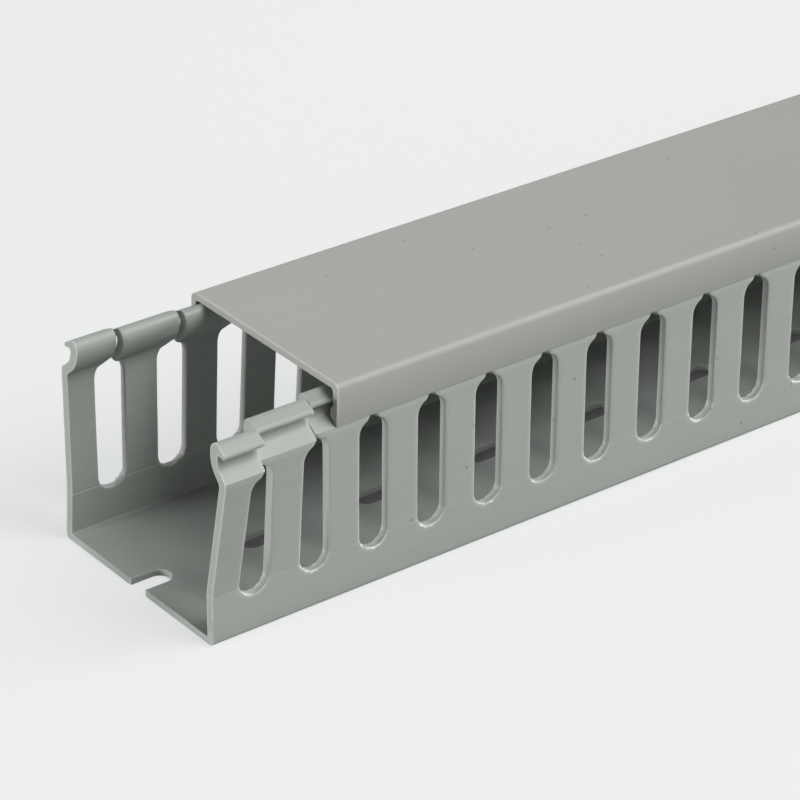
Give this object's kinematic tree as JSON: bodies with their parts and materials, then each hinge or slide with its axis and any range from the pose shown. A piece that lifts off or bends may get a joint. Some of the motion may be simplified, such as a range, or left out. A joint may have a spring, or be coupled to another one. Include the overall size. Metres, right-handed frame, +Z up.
{
  "type": "slotted wire duct",
  "caption": "Grey open-slot wiring duct with a clip-on cover slid back from one end, slotted side walls with curled finger rims and slotted floor.",
  "frame": {"origin": "middle of the base's underside", "axes": "+X along the duct from the end with the exposed fingers, -Y towards the near wall, +Z up through the cover"},
  "size_m": [0.5256, 0.0465, 0.0406],
  "materials": {
    "duct_pvc": "satin",
    "cover_pvc": "satin"
  },
  "bodies": {
    "base": {"base": "duct_pvc"},
    "cover": {"cover": "cover_pvc"}
  },
  "joints": [
    {"name": "cover_slide", "type": "slide", "parent": "base", "child": "cover", "axis": [1, 0, 0], "range_m": [-0.004, 0.3]}
  ]
}
